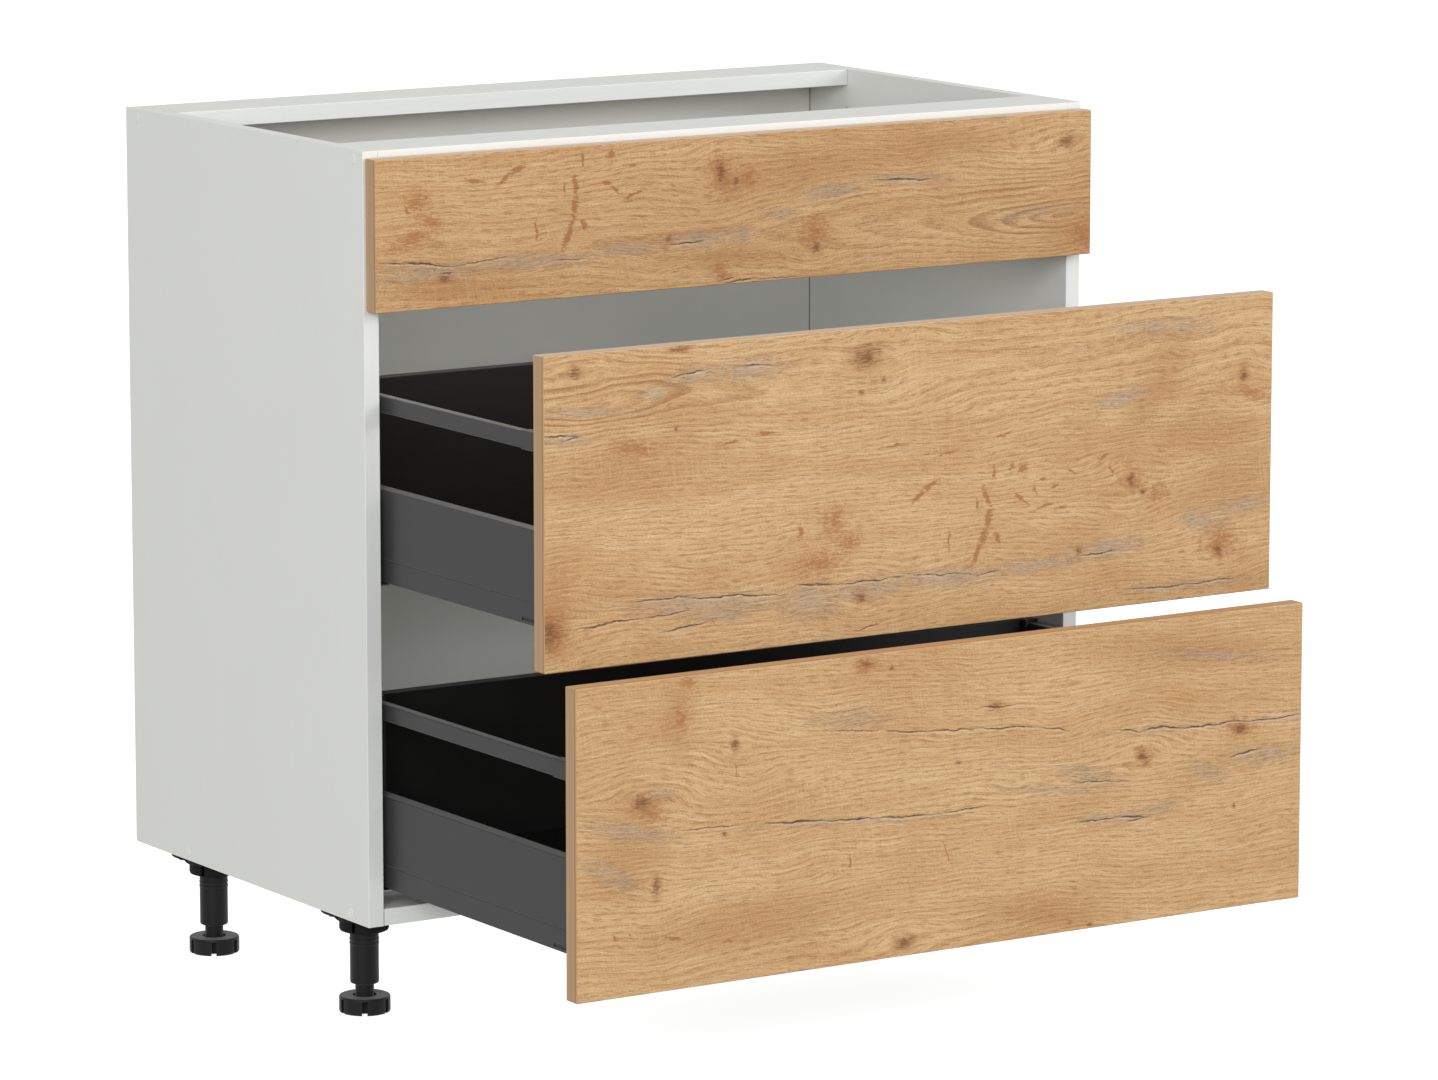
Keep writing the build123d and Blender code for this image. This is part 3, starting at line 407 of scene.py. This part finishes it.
    # knots: dark heart in a reddish halo
    d = t.nearest(t.after(crisp, d), spec["knot"])
    halo = t.map(t.math("MULTIPLY_ADD", t.math("SUBTRACT", streak, 0.5), -2.4, d), 2.5, 0.6)
    col = t.mix(t.math("MULTIPLY", halo, 0.46), col, lin(168, 117, 72))
    near = t.math("SUBTRACT", 1.45, d)
    scrawl = t.math("MAXIMUM", speck, t.math("ADD", streak, 0.02))
    heart = t.map(t.math("MULTIPLY_ADD", t.math("SUBTRACT", scrawl, 0.56), 6.0, near), 0.0, 1.4)
    col = t.mix(t.math("MULTIPLY", heart, 0.76), col, lin(112, 69, 40))

    # cracks, each with a painted highlight as a pale line just below it
    split = t.after(split, d)
    crack_highlight = t.nearest(t.vec("ADD", split, (0.0, 0.0, 1.8)), spec["crack"])
    broken = t.map(streak, 0.34, 0.52, 0.22, 1.0)
    col = t.mix(t.math("MULTIPLY", t.math("MULTIPLY", t.map(crack_highlight, 1.4, 0.6), broken), 0.34), col, lin(226, 206, 178))
    d = t.nearest(t.after(split, crack_highlight), spec["crack"])
    gap = t.math("MULTIPLY", t.map(d, 1.35, 0.5), broken)
    col = t.mix(t.math("MULTIPLY", gap, 0.88), col, lin(64, 49, 39))
    col = t.mix(1.0, col, tone, "MULTIPLY")

    # edge band on the narrow faces: greyer along its middle, with a painted highlight on top (toned down to painted
    # shade on the lower front, which lies in the upper front's shadow)
    n = t.xyz(t.coord.outputs["Normal"])
    edge = t.map(t.math("ABSOLUTE", n[1]), 0.80, 0.72)
    band = t.noise(t.stretch(p, 1 / 60, 1 / 1.1, 1 / 60, (shift, 4, 2)), 1.0, 3.0, 0.6)
    band_col = t.mix(t.map(band, 0.3, 0.7), lin(187, 147, 107), lin(200, 161, 120))
    middle = t.math("ABSOLUTE", t.math("SUBTRACT", y, spec["face"] + 9.5))
    band_col = t.mix(t.map(middle, 6.5, 2.0, 0.0, 0.7), band_col, lin(180, 149, 116))
    # painted light: upward faces of the band take the top-edge tint, a painted highlight (a painted shade on the lower
    # front)
    band_col = t.mix(t.map(n[2], 0.6, 0.8, 0.0, 0.9), band_col, lin(*spec["top_painted_light"]))
    glue = t.math("ABSOLUTE", t.math("SUBTRACT", y, spec["face"] + 2.6))
    band_col = t.mix(t.map(glue, 1.7, 0.6, 0.0, 0.52), band_col, lin(136, 112, 90))
    col = t.mix(edge, col, band_col)

    t.bump(t.noise(t.stretch(p, 1 / 22, 1 / 8, 1 / 0.9, (shift, 0, 0)), 1.0, 3.0, 0.6), 0.22, 0.0002)
    rough = t.map(t.math("ADD", pore, gap), 0.0, 1.0, 0.48, 0.62, smooth=False)
    return t.set(color=col, rough=rough, spec=0.30)


# ------------------------------------------------------------ other finishes
def melamine(name, color, along):
    """Pale laminate with a faint fine pore."""
    t = Net(name)
    scale = {"x": (1 / 70, 1 / 1.3, 1 / 1.3), "y": (1 / 1.3, 1 / 70, 1 / 1.3), "z": (1 / 1.3, 1 / 1.3, 1 / 70)}[along]
    streak = t.noise(t.stretch(t.mm, *scale), 1.0, 3.0, 0.6)
    cloud = t.noise(t.mm, 1 / 140, 2.0, 0.5)
    deep = tuple(c * 0.955 for c in color[:3]) + (1.0,)
    col = t.mix(t.map(streak, 0.28, 0.72, 0.0, 0.5, smooth=False), color, deep)
    col = t.mix(t.map(cloud, 0.3, 0.7, 0.0, 0.28), col, deep)
    n = t.xyz(t.coord.outputs["Normal"])
    band = t.map(n[1], -0.80, -0.90)
    col = t.mix(band, col, t.mix(t.map(streak, 0.3, 0.7), (0.852, 0.874, 0.852, 1.0), (0.832, 0.854, 0.832, 1.0)))
    if along == "x":
        # painted shade in the joints: darker towards the ends (|x| over 383.1) where the panels butt against the
        # sides, left out at the front top
        seam_shade = t.map(t.math("ABSOLUTE", t.split[0]), 383.1, 383.7, 0.0, 0.5)
        away = t.math("MAXIMUM", t.map(t.split[1], 0.0, 100.0), t.map(t.split[2], 500.0, 300.0))
        col = t.mix(t.math("MULTIPLY", seam_shade, away), col, (0.16, 0.16, 0.15, 1.0))
    grit = t.noise(t.mm, 1 / 0.55, 2.0, 0.6)
    t.bump(t.math("ADD", grit, streak), 0.10, 0.00006)
    return t.set(color=col, rough=t.map(grit, 0.3, 0.7, 0.40, 0.50, smooth=False), spec=0.4)


def powder(name, color, rough, grain=0.35):
    """Fine powder-coated steel, with painted shade in its pressed slots."""
    t = Net(name)
    speck = t.noise(t.mm, 1 / grain, 3.0, 0.65)
    cloud = t.noise(t.mm, 1 / 55, 2.0, 0.5)
    pale = tuple(c * 1.35 for c in color[:3]) + (1.0,)
    col = t.mix(t.map(speck, 0.42, 0.72, 0.0, 0.55), color, pale)
    col = t.mix(t.map(cloud, 0.35, 0.7, 0.0, 0.18), col, pale)
    # painted shade: near black at |x| 375.1, the floor of the pressed slots in the drawer sides
    slot_shade = t.math("ABSOLUTE", t.math("SUBTRACT", t.math("ABSOLUTE", t.split[0]), 375.1))
    col = t.mix(t.map(slot_shade, 0.24, 0.08, 0.0, 0.85), col, (0.006, 0.006, 0.006, 1.0))
    t.bump(speck, 0.22, 0.00007)
    return t.set(
        color=col,
        rough=t.map(speck, 0.3, 0.7, rough - 0.05, rough + 0.06, smooth=False),
        spec=0.5,
        sheen=0.25,
        sheen_rough=0.45,
    )


def board(name, color):
    """Black melamine."""
    t = Net(name)
    streak = t.noise(t.stretch(t.mm, 1 / 45, 1 / 1.6, 1 / 1.6), 1.0, 3.0, 0.6)
    grit = t.noise(t.mm, 1 / 0.6, 2.0, 0.6)
    pale = tuple(c * 1.6 for c in color[:3]) + (1.0,)
    col = t.mix(t.map(streak, 0.35, 0.7, 0.0, 0.5, smooth=False), color, pale)
    t.bump(grit, 0.12, 0.00006)
    return t.set(color=col, rough=t.map(grit, 0.3, 0.7, 0.42, 0.52, smooth=False), spec=0.28)


def plastic(name, color, rough, spec=0.45, sheen=0.0):
    """Moulded plastic with a fine spark-eroded texture."""
    t = Net(name)
    grit = t.noise(t.mm, 1 / 0.45, 3.0, 0.6)
    scuff = t.noise(t.stretch(t.mm, 1 / 9, 1 / 9, 1 / 30), 1.0, 4.0, 0.65)
    pale = tuple(min(1.0, c * 1.5 + 0.004) for c in color[:3]) + (1.0,)
    col = t.mix(t.map(scuff, 0.48, 0.75, 0.0, 0.45), color, pale)
    t.bump(grit, 0.18, 0.00008)
    rough = t.map(scuff, 0.3, 0.7, rough, rough + 0.12, smooth=False)
    return t.set(color=col, rough=rough, spec=spec, sheen=sheen, sheen_rough=0.45)


def leg_socket(name, color):
    """The leg plates: moulded plastic, with painted shade on the flange up under the cabinet and in the collar's gaps.
    """
    t = Net(name)
    x, y, z = t.split
    grit = t.noise(t.mm, 1 / 0.45, 3.0, 0.6)
    scuff = t.noise(t.stretch(t.mm, 1 / 9, 1 / 9, 1 / 30), 1.0, 4.0, 0.65)
    pale = tuple(c * 1.5 + 0.002 for c in color[:3]) + (1.0,)
    col = t.mix(t.map(scuff, 0.48, 0.75, 0.0, 0.45), color, pale)
    # painted shade: darker from z 89 to 95, on the flange up under the cabinet
    dark = tuple(c * 0.3 for c in color[:3]) + (1.0,)
    col = t.mix(t.map(z, 89.0, 95.0, 0.0, 0.8), col, dark)
    # each plate in its own middle, turned so that the gaps lie along the axes
    lx = t.math("SUBTRACT", x, t.math("MULTIPLY", t.math("SIGN", x), 359.0))
    ly = t.math("SUBTRACT", y, t.map(y, 181.9, 182.1, 35.0, 329.0))
    turn = math.radians(35.0)
    u = t.math("ABSOLUTE", t.math("MULTIPLY_ADD", lx, math.cos(turn), t.math("MULTIPLY", ly, math.sin(turn))))
    v = t.math("ABSOLUTE", t.math("MULTIPLY_ADD", ly, math.cos(turn), t.math("MULTIPLY", lx, -math.sin(turn))))
    thin = t.map(t.math("MINIMUM", u, v), 1.62, 1.54)
    reach = t.math("MAXIMUM", u, v)
    ringed = t.math("MULTIPLY", t.map(reach, 15.4, 15.8), t.map(reach, 23.3, 22.9))
    low = t.map(z, 88.8, 88.3)
    gap = t.math("MULTIPLY", t.math("MULTIPLY", thin, ringed), low)
    # painted shade: near black in the collar's gaps
    col = t.mix(t.math("MULTIPLY", gap, 0.92), col, (0.0012, 0.0012, 0.0012, 1.0))
    t.bump(grit, 0.18, 0.00008)
    return t.set(color=col, rough=t.map(scuff, 0.3, 0.7, 0.5, 0.62, smooth=False), spec=0.16)


def zinc(name):
    """Bright zinc-plated steel, lightly drawn lengthways."""
    t = Net(name)
    drawn = t.noise(t.stretch(t.mm, 1 / 0.5, 1 / 30, 1 / 0.5), 1.0, 3.0, 0.6)
    bloom = t.noise(t.mm, 1 / 12, 3.0, 0.6)
    col = t.mix(t.map(bloom, 0.35, 0.7), lin(196, 199, 203), lin(168, 171, 176))
    col = t.mix(t.map(drawn, 0.35, 0.7, 0.0, 0.4), col, lin(146, 149, 154))
    t.bump(drawn, 0.10, 0.00005)
    return t.set(color=col, rough=t.map(drawn, 0.3, 0.7, 0.26, 0.42, smooth=False), metal=1.0)


def hardboard(name, color):
    """Thin back: pale lacquer inside, bare brown fibre on the wall side."""
    t = Net(name)
    fibre = t.noise(t.mm, 1 / 1.1, 4.0, 0.7)
    clump = t.noise(t.mm, 1 / 9, 3.0, 0.6)
    raw = t.mix(t.map(fibre, 0.35, 0.65), lin(182, 146, 108), lin(138, 104, 73))
    raw = t.mix(t.map(clump, 0.35, 0.7, 0.0, 0.5), raw, lin(160, 124, 88))
    mottle = t.noise(t.stretch(t.mm, 1 / 46, 1.0, 1 / 34), 1.0, 5.0, 0.68, 0.6)
    raw = t.mix(t.map(mottle, 0.40, 0.66, 0.0, 0.55), raw, lin(128, 95, 66))
    raw = t.mix(t.map(mottle, 0.46, 0.30, 0.0, 0.50), raw, lin(196, 162, 124))
    streak = t.noise(t.stretch(t.mm, 1 / 1.3, 1 / 1.3, 1 / 70), 1.0, 3.0, 0.6)
    deep = tuple(c * 0.955 for c in color[:3]) + (1.0,)
    face = t.mix(t.map(streak, 0.28, 0.72, 0.0, 0.5, smooth=False), color, deep)
    # painted shade in the joints with the side panels: darker near |x| 382.3 to 383.2
    face = t.mix(t.map(t.math("ABSOLUTE", t.split[0]), 382.3, 383.2, 0.0, 0.72), face, (0.10, 0.10, 0.095, 1.0))
    n = t.xyz(t.coord.outputs["Normal"])
    col = t.mix(t.map(n[1], -0.6, -0.4, 1.0, 0.0), raw, face)
    t.bump(fibre, 0.15, 0.0001)
    return t.set(color=col, rough=t.map(fibre, 0.3, 0.7, 0.45, 0.60, smooth=False), spec=0.35)


def beech(name):
    t = Net(name)
    rib = t.noise(t.stretch(t.mm, 1 / 20, 1 / 0.8, 1 / 0.8), 1.0, 3.0, 0.6)
    col = t.mix(t.map(rib, 0.3, 0.7), lin(214, 176, 130), lin(184, 140, 96))
    t.bump(rib, 0.2, 0.0002)
    return t.set(color=col, rough=t.map(rib, 0.3, 0.7, 0.6, 0.7, smooth=False))


WHITE = (0.800, 0.812, 0.768, 1.0)
finish = {
    "white_x": melamine("carcass_melamine_x", WHITE, "x"),
    "white_y": melamine("carcass_melamine_y", WHITE, "y"),
    "white_z": melamine("carcass_melamine_z", WHITE, "z"),
    "back": hardboard("back_board", (0.865, 0.875, 0.835, 1.0)),
    "cap": plastic("cap_plastic", (0.80, 0.81, 0.77, 1.0), 0.38),
    "steel": powder("drawer_steel", (0.0250, 0.0253, 0.0256, 1.0), 0.46),
    "fitting": plastic("drawer_fittings", (0.032, 0.0325, 0.033, 1.0), 0.42, sheen=0.2),
    "black": board("drawer_board", (0.0085, 0.0085, 0.0085, 1.0)),
    "leg": plastic("leg_plastic", (0.008, 0.008, 0.008, 1.0), 0.44, spec=0.25, sheen=0.3),
    "socket": leg_socket("leg_plate_plastic", (0.0085, 0.0085, 0.0085, 1.0)),
    "zinc": zinc("zinc_steel"),
    "beech": beech("dowel_wood"),
    "blank": oak("oak_blank", BLANK, 137.0, (1.02, 1.0, 0.975, 1.0)),
    "upper": oak("oak_upper", UPPER, 911.0, (1.0, 1.0, 1.0, 1.0)),
    "lower": oak("oak_lower", LOWER, 2203.0, (1.0, 1.0, 1.0, 1.0)),
}


def finish_of(name):
    if name in ("side_panel_left", "side_panel_right"):
        return "white_z"
    if name in ("bottom_panel", "front_top_rail", "rear_top_rail"):
        return "white_x"
    if name == "back_panel":
        return "back"
    if name == "screw_caps":
        return "cap"
    if name == "carcass_dowels":
        return "beech"
    if name == "blank_front":
        return "blank"
    if name.endswith("_drawer_front"):
        return name.split("_")[0]
    if name.startswith("leg_plate_"):
        return "socket"
    if name.startswith("leg_") and name != "leg_screws":
        return "leg"
    if name.endswith(("_rail_connectors", "_rail_holders")):
        return "fitting"
    if "_drawer_side_" in name or "_rail_" in name and "runner" not in name:
        return "steel"
    if name.endswith(("_drawer_bottom", "_drawer_back")):
        return "black"
    return "zinc"


for name, obj in nodes.items():
    obj.data.materials.clear()
    obj.data.materials.append(finish[finish_of(name)])

# -------------------------------------------------------------------- floor
bpy.ops.mesh.primitive_grid_add(x_subdivisions=8, y_subdivisions=8, size=80.0, location=(0.0, 0.0, 0.0))
floor = bpy.context.object
floor.name = "floor"
t = Net("floor_paper")
cloud = t.noise(t.mm, 1 / 900, 2.0, 0.5)
t.set(
    color=t.mix(t.map(cloud, 0.3, 0.7), (0.60, 0.60, 0.597, 1.0), (0.62, 0.62, 0.617, 1.0)),
    rough=0.9,
    spec=0.1,
)
t.bsdf.inputs["Emission Color"].default_value = (1.0, 1.0, 1.0, 1.0)
t.bsdf.inputs["Emission Strength"].default_value = 0.86
floor.data.materials.append(t.mat)
# the floor keeps its own brightness and sends none of it back up
floor.visible_diffuse = False
floor.visible_glossy = False

# -------------------------------------------------------------------- light
scene = bpy.context.scene
world = bpy.data.worlds.new("studio")
scene.world = world
world.use_nodes = True
wt = world.node_tree
wt.nodes.clear()
out = wt.nodes.new("ShaderNodeOutputWorld")
seen = wt.nodes.new("ShaderNodeBackground")
seen.inputs[0].default_value = (1.0, 1.0, 1.0, 1.0)
seen.inputs[1].default_value = 1.0
felt = wt.nodes.new("ShaderNodeBackground")
felt.inputs[0].default_value = (1.0, 1.0, 1.0, 1.0)
felt.inputs[1].default_value = 0.52
path = wt.nodes.new("ShaderNodeLightPath")
mixer = wt.nodes.new("ShaderNodeMixShader")
wt.links.new(path.outputs["Is Camera Ray"], mixer.inputs[0])
wt.links.new(felt.outputs[0], mixer.inputs[1])
wt.links.new(seen.outputs[0], mixer.inputs[2])
wt.links.new(mixer.outputs[0], out.inputs[0])


def softbox(name, at, to, size, watts):
    data = bpy.data.lights.new(name, "AREA")
    data.shape = "RECTANGLE"
    data.size, data.size_y = size
    data.energy = watts
    obj = bpy.data.objects.new(name, data)
    scene.collection.objects.link(obj)
    obj.location = at
    obj.rotation_euler = (Vector(to) - Vector(at)).to_track_quat("-Z", "Y").to_euler()
    return obj


softbox("left_key", (-5.4, -5.5, 2.9), (0.0, -0.1, 0.45), (4.0, 3.2), 280.0)
softbox("right_key", (4.9, -5.9, 2.9), (0.0, -0.1, 0.45), (4.0, 3.2), 230.0)
softbox("top", (0.0, 0.1, 6.0), (0.0, 0.0, 0.4), (4.0, 4.0), 60.0)

# ------------------------------------------------------------------- camera
cam_data = bpy.data.cameras.new("camera")
camera = bpy.data.objects.new("camera", cam_data)
scene.collection.objects.link(camera)
cam_data.sensor_width = 36.0
cam_data.lens = 6879.41 * 36.0 / 1438.0
cam_data.clip_start, cam_data.clip_end = 0.1, 200.0
camera.location = (-3.47989, -5.43552, 1.51722)
camera.rotation_euler = Euler((math.pi / 2 - 0.16839, 0.0, -0.57122), "XYZ")
scene.camera = camera
scene.view_settings.view_transform = "Standard"
scene.view_settings.look = "None"
